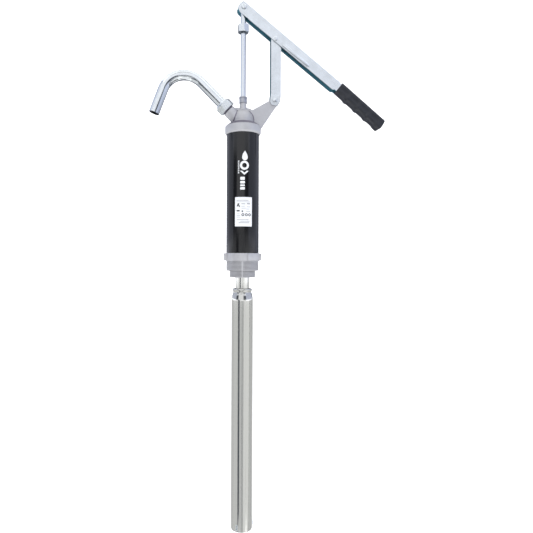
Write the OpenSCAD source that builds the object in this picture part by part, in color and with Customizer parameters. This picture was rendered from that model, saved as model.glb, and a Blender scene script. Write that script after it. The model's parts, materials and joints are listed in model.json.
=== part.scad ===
// Lever-operated drum barrel pump with a swivelling spout and a telescopic suction tube.
// Origin: on the pump axis, at the seat of the bung adapter. +Z runs up the barrel, +X points
// to the side of the hand grip, and the spout leaves towards -X. Millimetres.

/* [Barrel] */
// Outer diameter of the barrel tube
barrel_d = 60; // [59.5:0.5:60.5]
// Wall of the barrel tube
barrel_wall = 1.5; // [1.2:0.1:1.6]
// Height of the head's lower edge above the adapter seat
head_z = 233; // [228:1:240]
// Outer diameter of the head's collar
collar_d = 66.6; // [65.5:0.1:68]
// Height of the collar's straight side
collar_h = 15.2; // [14:0.1:16]

/* [Bung adapter] */
// Height of the adapter's wrench ring
ring_h = 14.1; // [12:0.1:16]
// Outer diameter of the wrench ring
ring_d = 61.4; // [61:0.1:63]
// Major diameter of the drum bung thread, 2 inch pipe
bung_d = 59.6; // [59:0.1:60]
// Length of the drum bung thread
bung_l = 18.2; // [16:0.1:20]
// Major diameter of the lower thread, 1 1/2 inch pipe
small_d = 47.8; // [47:0.1:48.5]
// Length of the lower thread
small_l = 12.3; // [11:0.1:14]

/* [Suction tubes] */
// Outer diameter of the fixed upper tube
upper_d = 25.4; // [25:0.1:26]
// Outer diameter of the sliding lower tube
lower_d = 40; // [39.6:0.1:40.4]
// Wall of both suction tubes
tube_wall = 0.8; // [0.7:0.1:1]
// Depth of the lower tube's foot under the adapter seat, pushed in
foot_depth = 495; // [480:1:510]
// Depth of the lower tube's top lip, pushed in
lip_depth = 51; // [49:1:54]

/* [Rod and piston] */
// Diameter of the piston rod
rod_d = 10; // [9.8:0.1:10.2]
// Height of the lever pin, with the rod fully up
pin_a_z = 468.6; // [468:0.1:470]
// Height of the piston's underside, with the rod fully up
piston_z = 136; // [134:1:160]
// Lift of the piston valve disc
piston_valve_lift = 3; // [2:0.5:4]
// Lift of the foot valve disc
foot_valve_lift = 4; // [3:0.5:4]

/* [Spout] */
// Angle of the spout branch above the horizontal
branch_angle = 44; // [42:1:46]
// Outer diameter of the spout tube
spout_d = 19; // [18.6:0.1:19.2]
// Wall of the spout tube
spout_wall = 1.5; // [1:0.1:2]
// Radius of the spout bend along its centreline
bend_r = 42.4; // [40:0.1:45]
// Angle that the spout bend turns through
bend_angle = 113.913; // [110:0.001:116]
// Length of the straight end after the bend
spout_end_l = 46.5; // [40:0.5:50]

/* [Lever] */
// Slope of the lever below the horizontal, grip down
lever_angle = 37; // [36:0.5:38]
// Length of the channel from the lever pin to its full-height end
channel_l = 225.5; // [220:0.5:230]
// Height of the channel
channel_h = 21; // [20.5:0.25:22]
// Width over the channel's two flanges
channel_w = 16; // [15.8:0.1:16.4]
// Length of the hand grip
grip_l = 108.5; // [105:0.5:112]
// Height of the hand grip
grip_h = 25.4; // [25:0.1:27]
// Width of the hand grip
grip_w = 22; // [20:0.5:24]

/* [Link] */
// Distance between the link's two pivots
link_l = 114.8; // [114:0.1:116]
// Distance of the link pivots from the pump axis
link_x = 59.3; // [58.5:0.1:60]

/* [Hidden] */
$fn = 96;

// Clearances: a running fit, a screwed joint, and the gap between moving flat faces
fit = 0.05;
gap = 0.3;
eps = 1;

// Barrel and head
barrel_r = barrel_d / 2;
bore_r = barrel_r - barrel_wall;
collar_r = collar_d / 2;
gasket_t = 1.5;
barrel_top = head_z + 11;
shoulder_z = head_z + collar_h;
dome_z = head_z + 27;
dome_offset = 2;
dome_rx = 17;
dome_rz = 20.5;
neck_z = dome_z + 19.2;
gland_z = neck_z + 13.1;
gland_h = 11.9;
neck_top = gland_z + 6.2;
packing_h = 3;
neck_r = 6.3;
gland_r = 7.3;
rod_r = rod_d / 2;

// Branch and spout, measured along the branch axis from where it meets the pump axis
branch_z = head_z + 18.8;
branch_r = 11.65;
nose_r = 11;
port_r = 7.9;
branch_l = 39.6;
nose_l = 46;
washer_t = 1.2;
flange_t = 2;
spout_nut_h = 16.8;
spout_nut_r = 16.4;
spout_r = spout_d / 2;
bend_start = 108;

// Pivots in the plane of the lever
pin_a = [0, pin_a_z];
pin_c = [link_x, head_z + 66.3];
pin_b = pin_c + [0, link_l];
pin_a_r = 3.5;
pin_b_r = 3.5;
pin_c_r = 3.2;
web_t = 7.6;
lug_r = 8.5;

// Lever channel: heights are measured from the lever pin, square to the lever
lever_sheet = 2;
top_edge = 8.5;
low_edge = top_edge - channel_h;
half_w = channel_w / 2;
inner_w = half_w - lever_sheet;
tang_l = 104;
tang_h = 18;
grip_start = 230;
grip_tilt = 1.4;
groove_pitch = 26.2;
pin_b_along = pin_b[0] * cos(lever_angle) - (pin_b[1] - pin_a_z) * sin(lever_angle);
pin_b_high = pin_b[0] * sin(lever_angle) + (pin_b[1] - pin_a_z) * cos(lever_angle);

// Link channel
link_sheet = 1.6;
link_half_w = inner_w - gap;
link_left = link_x - 7.6;
link_right = link_x + 11.2;
ear_r = 9.2;

// Suction tubes
upper_r = upper_d / 2;
lower_r = lower_d / 2;
lower_bore = lower_r - tube_wall;
upper_top = -10;
upper_end = 17 - foot_depth;
guide_h = 10;
lip_z = -lip_depth;
strainer_h = 15;
rivet_heights = [5.7, 10.9];
rivet_r = 1.6;
rivet_angles = [-124, -4, 116];

// A ring or tube along Z between two heights
module ring(r_out, r_in, z0, z1) {
    translate([0, 0, z0]) difference() {
        cylinder(r = r_out, h = z1 - z0);
        translate([0, 0, -eps]) cylinder(r = r_in, h = z1 - z0 + 2 * eps);
    }
}

// A plate in the plane of the lever, centred on the pump's middle plane
module plate_y(thick) {
    rotate([90, 0, 0]) linear_extrude(thick, center = true) children();
}

// A round bar along Y through a point of the lever's plane
module bar_y(p, r, y0, y1) {
    translate([p[0], y0, p[1]]) rotate([-90, 0, 0]) cylinder(r = r, h = y1 - y0);
}

// Moves children to the branch axis, which becomes their Z
module on_branch() {
    translate([0, 0, branch_z]) rotate([0, branch_angle - 90, 0]) children();
}

// Moves children to the lever: X along it from the lever pin, Z square to it
module on_lever() {
    translate([0, 0, pin_a_z]) rotate([0, lever_angle, 0]) children();
}

// Puts children on the rivets of the foot strainer, which point outward along their Z
module at_rivets() {
    for (a = rivet_angles, h = rivet_heights)
        rotate(a) translate([0, 0, h - foot_depth]) rotate([0, 90, 0]) children();
}

// Points of the dome's outline, from its foot to its top
function dome(inset) = [for (a = [0 : 9 : 72])
    [dome_offset + (dome_rx - inset) * cos(a), dome_z + (dome_rz - inset) * sin(a)]];

// ---------------------------------------------------------------- head

module head_solid() {
    rotate_extrude() polygon(concat(
        [[0, head_z], [collar_r - 2.4, head_z], [collar_r, head_z + 3.2], [collar_r, shoulder_z],
         [collar_r - 9.6, shoulder_z + 7], [collar_r - 12.4, shoulder_z + 8.4],
         [collar_r - 14, shoulder_z + 10.6]],
        dome(0),
        [[7.6, neck_z - 0.6], [neck_r + 0.4, neck_z + 4.4], [neck_r, gland_z],
         [neck_r - 0.3, gland_z], [neck_r - 0.3, neck_top], [0, neck_top]]
    ));
}

module head_inside() {
    translate([0, 0, head_z - eps]) cylinder(r = barrel_r + fit, h = barrel_top + gasket_t - head_z + eps);
    rotate_extrude() polygon(concat(
        [[0, barrel_top], [26, barrel_top], [26, barrel_top + 6], [17.5, barrel_top + 10]],
        dome(3),
        [[rod_r + gap, dome_z + 17.3], [rod_r + gap, neck_top + eps], [0, neck_top + eps]]
    ));
    on_branch() translate([0, 0, 14]) cylinder(r = port_r, h = nose_l);
}

module head_casting() {
    color("#c5c6cc") difference() {
        union() {
            head_solid();
            on_branch() translate([0, 0, 16]) {
                cylinder(r = branch_r, h = branch_l - 16);
                cylinder(r = nose_r, h = nose_l - 16);
            }
            // Arm that carries the link
            plate_y(web_t) {
                polygon([[9, 250], [collar_r - 2, head_z + 4], [collar_r - 0.3, head_z + 4],
                         [collar_r + 0.4, head_z + 12], [link_x + 0.3, pin_c[1] - 14.8],
                         [link_x + 7.6, pin_c[1] - 5], [link_x, pin_c[1] + 2],
                         [link_x - 7.2, pin_c[1] + 1.6], [12.5, head_z + 44.6], [9, head_z + 38]]);
                translate(pin_c) circle(r = lug_r);
            }
            // Ribs beside the neck
            plate_y(5) {
                polygon([[5, dome_z + 12], [22, dome_z + 12], [17.5, dome_z + 20.6], [12, dome_z + 23.4],
                         [5, dome_z + 24]]);
                polygon([[-5, dome_z + 12], [-17, dome_z + 12], [-19, dome_z + 18], [-14, dome_z + 23],
                         [-5, dome_z + 24]]);
            }
        }
        head_inside();
        bar_y(pin_c, pin_c_r + fit, -web_t, web_t);
    }
}

module barrel_tube() color("#1c1d20") ring(barrel_r, bore_r, ring_h, barrel_top);

module head_gasket() color("#222222") ring(barrel_r, bore_r, barrel_top, barrel_top + gasket_t);

module gland_nut() {
    top = gland_z + gland_h;
    color("#b4b6bd") rotate_extrude() polygon([
        [neck_r - 0.25, gland_z], [gland_r - 0.3, gland_z], [gland_r, gland_z + 0.5], [gland_r, top - 2.6],
        [gland_r + 0.3, top - 2.2], [gland_r + 0.3, top - 0.6], [gland_r - 0.5, top],
        [rod_r + 0.2, top], [rod_r + 0.2, neck_top + packing_h], [neck_r - 0.25, neck_top + packing_h]]);
}

module rod_packing() color("#2b2b2b") ring(neck_r - 0.3, rod_r + fit, neck_top, neck_top + packing_h);

module link_pin() {
    color("#cfd6df") {
        bar_y(pin_c, pin_c_r, -link_half_w - 1, link_half_w + 1);
        bar_y(pin_c, 4.6, -link_half_w - 2.6, -link_half_w - fit);
        bar_y(pin_c, 4.6, link_half_w + fit, link_half_w + 1.6);
    }
}

// ---------------------------------------------------------------- spout joint

module spout_nut() {
    top = branch_l + spout_nut_h;
    seat = nose_l + washer_t + flange_t + 2 * fit;
    color("#ccd3dd") on_branch() difference() {
        intersection() {
            translate([0, 0, branch_l + 0.2]) cylinder(r = spout_nut_r, h = spout_nut_h, $fn = 6);
            rotate_extrude() polygon([
                [0, branch_l], [spout_nut_r, branch_l], [spout_nut_r, top - 4.4],
                [spout_nut_r - 2.4, top - 2.8], [13, top - 2.8], [11.6, top], [0, top]]);
        }
        translate([0, 0, branch_l - eps]) cylinder(r = nose_r + fit, h = seat - branch_l + eps);
        cylinder(r = spout_r + fit, h = top + eps);
    }
}

module spout_washer() {
    color("#2b2b2b") on_branch() ring(nose_r - 0.2, port_r, nose_l, nose_l + washer_t);
}

module spout_path(r, start, extra) {
    translate([0, 0, start]) cylinder(r = r, h = bend_start - start);
    translate([-bend_r, 0, bend_start]) {
        rotate([90, 0, 0]) rotate_extrude(angle = bend_angle) translate([bend_r, 0]) circle(r = r);
        rotate([0, -bend_angle, 0]) translate([bend_r, 0, 0]) cylinder(r = r, h = spout_end_l + extra);
    }
}

module spout_tube() {
    foot = nose_l + washer_t + fit;
    color("#d0d8e4") on_branch() difference() {
        union() {
            spout_path(spout_r, foot, 0);
            translate([0, 0, foot]) cylinder(r = nose_r - 0.25, h = flange_t);
        }
        spout_path(spout_r - spout_wall, foot - eps, eps);
    }
}

// ---------------------------------------------------------------- bung adapter and foot valve

module bung_adapter() {
    small_end = -bung_l - small_l;
    color("#c5c6cc") difference() {
        union() {
            ring(ring_d / 2, 20, 0, ring_h);
            translate([0, 0, -bung_l]) cylinder(r = bung_d / 2, h = bung_l);
            translate([0, 0, small_end]) cylinder(r = small_d / 2, h = small_l);
            ring(bore_r - fit, 20, ring_h - eps, ring_h + 12);
            for (a = [0, 180]) rotate(a) translate([0, -7, 0]) cube([34.6, 14, ring_h]);
            for (a = [-61, 119]) rotate(a) translate([0, -11, 0]) cube([31.6, 22, ring_h]);
        }
        // Gasket seat, chamber, valve seat bore and suction tube socket
        translate([0, 0, ring_h - gasket_t]) ring(barrel_r + fit, bore_r - fit, 0, gasket_t + eps);
        translate([0, 0, 5]) cylinder(r = 24, h = ring_h + 12);
        translate([0, 0, -4]) cylinder(r = 21.5, h = 10);
        translate([0, 0, -12]) cylinder(r = 10, h = 10);
        translate([0, 0, small_end - eps]) cylinder(r = upper_r + fit, h = upper_top - small_end + eps);
    }
}

module adapter_gasket() {
    color("#222222") ring(barrel_r, bore_r, ring_h - gasket_t, ring_h);
}

module foot_valve_cage() {
    seat = 5;
    color("#b9a15a") difference() {
        union() {
            ring(23.9, 20, seat, seat + 4);
            for (a = [0 : 120 : 240]) rotate(a) translate([0, -2.5, seat]) cube([21, 5, 4]);
            translate([0, 0, foot_valve_lift - 1 + fit]) cylinder(r = 6, h = 10 - foot_valve_lift);
        }
        translate([0, 0, -eps]) cylinder(r = 2.5 + fit, h = 14);
    }
}

module foot_valve_disc() {
    color("#8d9096") {
        translate([0, 0, -4]) cylinder(r = 18, h = 3);
        translate([0, 0, -1 - eps]) cylinder(r = 2.5, h = 12);
    }
}

module barrel_label() {
    color("#eceff2") intersection() {
        ring(barrel_r + 0.25, barrel_r + 0.05, 62, 114.8);
        rotate(-95) translate([0, 0, 60]) linear_extrude(60)
            polygon([[0, 0], [60 * cos(30.7), -60 * sin(30.7)], [60, 0], [60 * cos(30.7), 60 * sin(30.7)]]);
    }
}

// ---------------------------------------------------------------- suction tubes

module upper_suction_tube() color("#c9c9c5") ring(upper_r, upper_r - tube_wall, upper_end, upper_top);

module tube_guide_ring() {
    color("#e6e3da") ring(lower_bore - fit, upper_r, upper_end, upper_end + guide_h);
}

module lower_suction_tube() {
    w = tube_wall;
    color("#c9c9c5") difference() {
        rotate_extrude() polygon([
            [lower_r - w, -foot_depth], [lower_r, -foot_depth], [lower_r, lip_z - 18.2],
            [lower_r - 0.6, lip_z - 14], [16.8, lip_z - 7.6], [16.8, lip_z - 5.6], [18.35, lip_z - 2.8],
            [17.6, lip_z - 0.8], [14.8, lip_z], [14.8, lip_z - w], [17.2, lip_z - w - 0.8],
            [17.4, lip_z - 3], [16.8 - w, lip_z - 5.4], [16.8 - w, lip_z - 7.8],
            [lower_r - 0.6 - w, lip_z - 14.2], [lower_r - w, lip_z - 18.4]]);
        at_rivets() cylinder(r = rivet_r + fit, h = lower_d);
    }
}

module tube_seal() {
    color("#202124") ring(16.8 - tube_wall - fit, upper_r + fit, lip_z - 11, lip_z - 4);
}

module foot_strainer() {
    color("#30322f") difference() {
        translate([0, 0, 0.5 - foot_depth]) cylinder(r = lower_bore - fit, h = strainer_h);
        translate([0, 0, 3 - foot_depth]) cylinder(r = 14, h = strainer_h);
        translate([0, 0, -foot_depth]) {
            for (a = [0 : 60 : 300]) rotate(a) translate([9, 0, 0]) cylinder(r = 2.6, h = 6);
            cylinder(r = 2.6, h = 6);
        }
        at_rivets() cylinder(r = rivet_r + fit, h = lower_d);
    }
}

module strainer_rivets() {
    color("#d5d9de") at_rivets() difference() {
        union() {
            translate([0, 0, 14.5]) cylinder(r = rivet_r, h = lower_r + 1 - 14.5);
            translate([0, 0, lower_r + 0.05]) cylinder(r = 2.6, h = 1.25);
        }
        cylinder(r = 0.8, h = lower_d);
    }
}

// ---------------------------------------------------------------- rod and piston

module piston_rod() {
    color("#d4dae2") translate([0, 0, piston_z - 15]) cylinder(r = rod_r, h = pin_a_z - 35.4 - piston_z + 15);
}

module rod_end_nut() {
    foot = pin_a_z - 44.9;
    color("#ccd3dd") difference() {
        intersection() {
            translate([0, 0, foot]) rotate(30) cylinder(r = 11, h = 14.2, $fn = 6);
            rotate_extrude() polygon([[0, foot], [9.9, foot], [11, foot + 1.2], [11, foot + 13],
                                      [9.9, foot + 14.2], [0, foot + 14.2]]);
        }
        translate([0, 0, foot - eps]) cylinder(r = rod_r + fit, h = 20);
        translate([0, 0, foot - eps]) cylinder(r = 7.4, h = 4);
    }
}

module rod_end_eye() {
    eye_w = 2 * (inner_w - gap);
    color("#cbd2da") difference() {
        union() {
            translate([0, 0, pin_a_z - 35.3]) cylinder(r = rod_r - 0.1, h = 30);
            bar_y(pin_a, 6, -eye_w / 2, eye_w / 2);
        }
        bar_y(pin_a, pin_a_r + fit, -10, 10);
    }
}

module valve_stop_ring() {
    z = piston_z + 10 + 2 + piston_valve_lift + fit;
    color("#9a9da3") ring(9, rod_r + fit, z, z + 3);
}

module piston_body() {
    color("#b58a3c") difference() {
        ring(25.4, rod_r + fit, piston_z + 2, piston_z + 10);
        for (a = [0 : 60 : 300]) rotate(a) translate([14, 0, piston_z]) cylinder(r = 4, h = 12);
    }
}

module piston_cup() {
    color("#3a2b20") {
        ring(bore_r - fit, 20, piston_z, piston_z + 2);
        ring(bore_r - fit, 25.5, piston_z + 2, piston_z + 13);
    }
}

module cup_retainer() {
    color("#9a9da3") difference() {
        union() {
            ring(23, rod_r + fit, piston_z - 2.5, piston_z);
            ring(19.9, rod_r + fit, piston_z - eps, piston_z + 2);
        }
        for (a = [0 : 60 : 300]) rotate(a) translate([14, 0, piston_z - 4]) cylinder(r = 4, h = 8);
    }
}

module piston_nut() {
    color("#9a9da3") difference() {
        translate([0, 0, piston_z - 10.5]) cylinder(r = 9.8, h = 8, $fn = 6);
        translate([0, 0, piston_z - 12]) cylinder(r = rod_r + fit, h = 12);
    }
}

module piston_valve_disc() color("#6f7278") ring(20, rod_r + fit, piston_z + 10, piston_z + 12);

// ---------------------------------------------------------------- lever

module channel_outline() {
    polygon([[-7, top_edge], [-9.4, 4.5], [-10.2, -4], [-6.8, -9.8], [-1, low_edge], [channel_l - 8, low_edge],
             [channel_l - 2, low_edge + 2.4], [channel_l, low_edge + 7], [channel_l, top_edge]]);
    translate([channel_l - eps, top_edge]) rotate(-grip_tilt) translate([0, -tang_h]) square([tang_l, tang_h]);
}

module channel_space() {
    translate([-20, low_edge - eps]) square([channel_l + 18, channel_h - lever_sheet + eps]);
    translate([channel_l - eps, top_edge]) rotate(-grip_tilt) translate([-3, -tang_h - eps])
        square([tang_l + 8, tang_h - lever_sheet + eps]);
}

module lever_channel() {
    color("#d0d8e4") on_lever() difference() {
        plate_y(channel_w) channel_outline();
        plate_y(2 * inner_w) channel_space();
        bar_y([0, 0], pin_a_r + fit, -channel_w, channel_w);
        bar_y([pin_b_along, pin_b_high], pin_b_r + fit, -channel_w, channel_w);
    }
}

module grip_outline() {
    square([grip_l - 4, grip_h]);
    translate([0, grip_h / 2]) square([grip_l, grip_h / 2 - 2]);
    translate([grip_l - 10, 10]) circle(r = 10);
}

// Finger grooves lie between bumps on the underside
module grip_grooves() {
    for (i = [0 : 3]) translate([10.5 + i * groove_pitch, -11]) circle(r = 14.2);
}

module lever_grip() {
    start = grip_start - channel_l + eps;
    skin = 2.2;
    color("#30333a") on_lever() translate([channel_l - eps, 0, top_edge]) rotate([0, grip_tilt, 0]) difference() {
        plate_y(grip_w) translate([start, skin - grip_h]) difference() {
            grip_outline();
            grip_grooves();
        }
        plate_y(channel_w + 2 * fit) translate([0, -tang_h - fit]) square([tang_l + fit, tang_h + 2 * fit]);
    }
}

module lever_pin() {
    color("#cfd6df") difference() {
        union() {
            bar_y(pin_a, pin_a_r, -half_w - 1, half_w + 5.5);
            bar_y(pin_a, 5.2, -half_w - 2.2, -half_w);
        }
        translate([0, half_w + 2.9, pin_a_z]) rotate([0, 90, 0])
            cylinder(r = 1.15, h = 20, center = true);
    }
}

module lever_pin_washer() {
    color("#b9c1cb") difference() {
        bar_y(pin_a, 6.5, half_w, half_w + 1.2);
        bar_y(pin_a, pin_a_r + fit, half_w - eps, half_w + 4);
    }
}

module cotter_pin() {
    color("#b9c1cb") translate([0, half_w + 2.9, pin_a_z]) {
        translate([-12, 0, 0]) rotate([0, 90, 0]) cylinder(r = 1, h = 20);
        translate([9.8, 0, 0]) rotate([90, 0, 0]) rotate_extrude() translate([1.9, 0]) circle(r = 0.9);
    }
}

module link_rivet() {
    color("#cfd6df") {
        bar_y(pin_b, pin_b_r, -half_w - 0.5, half_w + 0.5);
        bar_y(pin_b, 4.5, -half_w - 0.9, -half_w);
        bar_y(pin_b, 4.5, half_w, half_w + 0.9);
    }
}

// ---------------------------------------------------------------- link

module link_outline() {
    hull() {
        translate(pin_c) circle(r = ear_r, $fn = 32);
        translate(pin_c + [-1.6, 2.4]) circle(r = ear_r, $fn = 32);
        translate([link_left, pin_c[1] + 11]) square([link_right - link_left, eps]);
    }
    translate([link_left, pin_c[1] + 11]) square([link_right - link_left, link_l - 11]);
    translate(pin_b) circle(r = 7.6);
}

module link_channel() {
    w = link_half_w;
    color("#cfd7e2") difference() {
        plate_y(2 * w) link_outline();
        // Open side towards the pump, and a free end under and over the web
        translate([link_x - 20, -w + link_sheet, pin_c[1] - 15])
            cube([link_right - link_sheet - link_x + 20, 2 * (w - link_sheet), link_l + 30]);
        translate([link_x, -w + link_sheet, pin_c[1] - 15]) cube([20, 2 * (w - link_sheet), 36]);
        // The upper pivot is open towards the grip, where the rivet leaves it in mid-stroke
        bar_y(pin_b, pin_b_r + 0.4, -10, 10);
        translate([link_x, -10, pin_b[1] - 6.8]) cube([20, 20, 11.2]);
        bar_y(pin_c, pin_c_r + fit, -10, 10);
    }
}

head_casting();
barrel_tube();
head_gasket();
bung_adapter();
adapter_gasket();
gland_nut();
rod_packing();
spout_nut();
spout_washer();
upper_suction_tube();
tube_guide_ring();
foot_valve_cage();
link_pin();
barrel_label();
foot_valve_disc();
piston_rod();
rod_end_nut();
rod_end_eye();
valve_stop_ring();
piston_body();
piston_cup();
cup_retainer();
piston_nut();
piston_valve_disc();
lever_channel();
lever_grip();
lever_pin();
lever_pin_washer();
cotter_pin();
link_rivet();
link_channel();
lower_suction_tube();
tube_seal();
foot_strainer();
strainer_rivets();
spout_tube();
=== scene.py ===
"""Builds the finished look of a lever-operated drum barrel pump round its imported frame.

Shapes are modelled in millimetres with bmesh operators, and each piece is brought to metres when it
is finished. Places and radii come from the frame's nodes and joints wherever it holds them.
"""

import json
import math

import bmesh
import bpy
from mathutils import Matrix, Vector


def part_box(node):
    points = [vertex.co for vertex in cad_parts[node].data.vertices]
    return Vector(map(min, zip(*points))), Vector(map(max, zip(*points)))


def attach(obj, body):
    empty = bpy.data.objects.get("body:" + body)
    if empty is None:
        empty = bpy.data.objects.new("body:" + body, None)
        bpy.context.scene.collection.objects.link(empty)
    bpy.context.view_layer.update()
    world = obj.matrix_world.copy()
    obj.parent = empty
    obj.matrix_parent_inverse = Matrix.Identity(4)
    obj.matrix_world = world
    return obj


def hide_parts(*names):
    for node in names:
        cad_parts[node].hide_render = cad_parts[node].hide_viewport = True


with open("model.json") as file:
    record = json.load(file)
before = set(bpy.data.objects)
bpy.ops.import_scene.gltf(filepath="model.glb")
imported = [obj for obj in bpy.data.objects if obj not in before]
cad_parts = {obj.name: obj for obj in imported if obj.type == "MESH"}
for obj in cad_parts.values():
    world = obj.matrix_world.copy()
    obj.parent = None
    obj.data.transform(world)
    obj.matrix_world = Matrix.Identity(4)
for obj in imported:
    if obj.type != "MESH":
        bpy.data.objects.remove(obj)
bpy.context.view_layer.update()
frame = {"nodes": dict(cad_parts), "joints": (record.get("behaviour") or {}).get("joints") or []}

bl_info = {
    "name": "Drum barrel pump",
    "version": (1, 0, 0),
    "blender": (4, 5, 0),
    "location": "View3D > Sidebar > Drum pump",
    "description": "Models the visible pieces and finishes of a lever-operated drum barrel pump",
    "category": "Object",
}

MM = 0.001
TURN = 2 * math.pi
STEPS = 96

# Shared by the lever, the link and the grip, in millimetres and radians
LINK_LENGTH = 114.8
LEVER_TOP = 8.5
LEVER_LONG = 225.5
TANG_SLOPE = math.radians(1.4)


# ---------------------------------------------------------------- reading the frame


def span(node):
    """A node's lowest and highest corners in millimetres."""
    low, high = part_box(node)
    return Vector(low) / MM, Vector(high) / MM


def joint(name):
    """The frame's joint of that name."""
    return next(j for j in frame["joints"] if j["name"] == name)


def pivot(name):
    """A hinge's place in millimetres."""
    return Vector(joint(name)["pos_m"]) / MM


HEAD_LOW, HEAD_HIGH = span("head_casting")
BARREL_LOW, BARREL_HIGH = span("barrel_tube")
GLAND_LOW, GLAND_HIGH = span("gland_nut")
ADAPTER_LOW, ADAPTER_HIGH = span("bung_adapter")
ROD_LOW, ROD_HIGH = span("piston_rod")
NUT_LOW, NUT_HIGH = span("rod_end_nut")
UPPER_LOW, UPPER_HIGH = span("upper_suction_tube")
LOWER_LOW, LOWER_HIGH = span("lower_suction_tube")
LABEL_LOW, LABEL_HIGH = span("barrel_label")
PIN_A = pivot("lever_swing")
PIN_C = pivot("link_swing")
BRANCH_FOOT = pivot("spout_swivel")
BRANCH_AXIS = Vector(joint("spout_swivel")["axis"]).normalized()
BARREL_R = BARREL_HIGH.x
ROD_R = ROD_HIGH.x
UPPER_R = UPPER_HIGH.x
LOWER_R = LOWER_HIGH.x
RING_H = BARREL_LOW.z


# ---------------------------------------------------------------- sizes and colours


def linear(code):
    """An sRGB hex colour as a linear colour with full alpha."""
    values = [int(code[i : i + 2], 16) / 255 for i in (1, 3, 5)]
    return [v / 12.92 if v <= 0.04045 else ((v + 0.055) / 1.055) ** 2.4 for v in values] + [1.0]


def colour_property(name, description, code):
    return bpy.props.FloatVectorProperty(
        name=name, description=description, subtype="COLOR", size=4, min=0, max=1, default=linear(code)
    )


def length_property(name, description, default):
    return bpy.props.FloatProperty(
        name=name, description=description, default=default * MM, min=0, precision=4, unit="LENGTH"
    )


class DrumPumpSizes(bpy.types.PropertyGroup):
    """Sizes that the frame doesn't settle."""

    cast_voxel: length_property("Casting voxel", "Voxel that rounds the head casting's corners", 0.6)
    thread_pitch: length_property("Thread pitch", "Pitch of both pipe threads, 11 to the inch", 2.309)
    thread_depth: length_property("Thread depth", "Depth of both pipe threads", 1.1)
    channel_bend: length_property("Channel bend", "Outer radius of the lever's folded corners", 3.0)
    bead_height: length_property("Bead height", "How far the lever's stiffening bead stands out", 1.5)
    bump_height: length_property("Finger bump", "How far the grip's bumps stand out between the fingers", 1.7)
    bump_pitch: length_property("Finger pitch", "Distance between the grip's bumps", 25.4)
    lever_slope: bpy.props.FloatProperty(
        name="Lever slope", description="Slope of the lever under the horizontal with the grip down",
        default=math.radians(37), subtype="ANGLE",
    )


class DrumPumpColours(bpy.types.PropertyGroup):
    """Colours of the finishes."""

    cast: colour_property("Die casting", "Tumbled die-cast alloy", "#C9C9CC")
    # A darker copy of the casting colour, painted as shade on the head's shoulder and creases
    cast_crease_shade: colour_property("Casting crease shade", "Painted shade on the casting's shoulder and creases", "#7F7B88")
    zinc: colour_property("Zinc plate", "Bright blue passivated zinc", "#E2E7EA")
    # Painted shade for the inside of the channels, a darker blue than the zinc
    zinc_inside_shade: colour_property("Channel inside shade", "Blue zinc inside the pressed channels, darkened as painted shade", "#4B8496")
    tube: colour_property("Polished tube", "Chromed steel tube", "#D2D2CE")
    rod: colour_property("Ground rod", "Hard-chromed piston rod", "#DDE2E8")
    enamel: colour_property("Enamel", "Black stoving enamel", "#0A0A0C")
    vinyl: colour_property("Grip", "Dipped soft vinyl", "#24262C")
    film: colour_property("Label film", "White label film", "#EEF0F2")
    ink: colour_property("Ink", "Screen-printed marks", "#EDEFF1")
    label_ink: colour_property("Label ink", "Dark print on the label", "#3A3C40")
    rubber: colour_property("Rubber", "Nitrile rubber", "#1B1B1D")
    floor: colour_property("Floor", "Pale studio floor", "#FBFBFB")


def size(name):
    """A size property in millimetres."""
    return getattr(bpy.context.scene.drum_pump_sizes, name) / MM


def colour(name):
    """A colour property as a list."""
    return list(getattr(bpy.context.scene.drum_pump_colours, name))


# ---------------------------------------------------------------- modelling helpers


def new_object(name, bm):
    """Turns a bmesh into an object of the scene. The bmesh is freed."""
    mesh = bpy.data.meshes.new(name)
    bm.to_mesh(mesh)
    bm.free()
    thing = bpy.data.objects.new(name, mesh)
    bpy.context.scene.collection.objects.link(thing)
    return thing


def push(bm, geometry, vec):
    """Moves the vertices among some geometry."""
    bmesh.ops.translate(bm, verts=[g for g in geometry if isinstance(g, bmesh.types.BMVert)], vec=vec)


def rotate(bm, angle, axis, about=(0, 0, 0)):
    """Turns a whole shape about an axis through a point."""
    bmesh.ops.rotate(bm, verts=bm.verts[:], cent=about, matrix=Matrix.Rotation(angle, 3, axis))


def slice_faces(bm, place, across):
    """Cuts a shape's faces where they meet a plane, and leaves them joined."""
    bmesh.ops.bisect_plane(
        bm, geom=bm.verts[:] + bm.edges[:] + bm.faces[:], dist=1e-5, plane_co=place, plane_no=across,
    )


def run(edge, axis):
    """How far an edge runs along the axis of that letter."""
    return abs(getattr(edge.verts[0].co - edge.verts[1].co, axis))


def outline_face(bm, outline, soft=()):
    """A face in the XZ plane. soft is a list of (corner numbers, radius) that are rounded."""
    corners = [bm.verts.new((x, 0, z)) for x, z in outline]
    bm.faces.new(corners)
    for numbers, radius in soft:
        bmesh.ops.bevel(
            bm, geom=[corners[n] for n in numbers], offset=radius, offset_type="OFFSET", segments=5,
            profile=0.5, affect="VERTICES", clamp_overlap=False, material=-1,
        )


def revolve(outline, soft=(), steps=STEPS):
    """Turns a closed outline of (radius, height) corners round Z."""
    bm = bmesh.new()
    outline_face(bm, outline, soft)
    bmesh.ops.delete(bm, geom=bm.faces[:], context="FACES_ONLY")
    on_axis = [e for e in bm.edges if all(v.co.x < 1e-6 for v in e.verts)]
    bmesh.ops.delete(bm, geom=on_axis, context="EDGES")
    bmesh.ops.spin(
        bm, geom=bm.verts[:] + bm.edges[:], cent=(0, 0, 0), axis=(0, 0, 1), angle=TURN,
        steps=steps, use_merge=True,
    )
    bmesh.ops.remove_doubles(bm, verts=bm.verts[:], dist=1e-4)
    bmesh.ops.recalc_face_normals(bm, faces=bm.faces[:])
    return bm


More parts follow.
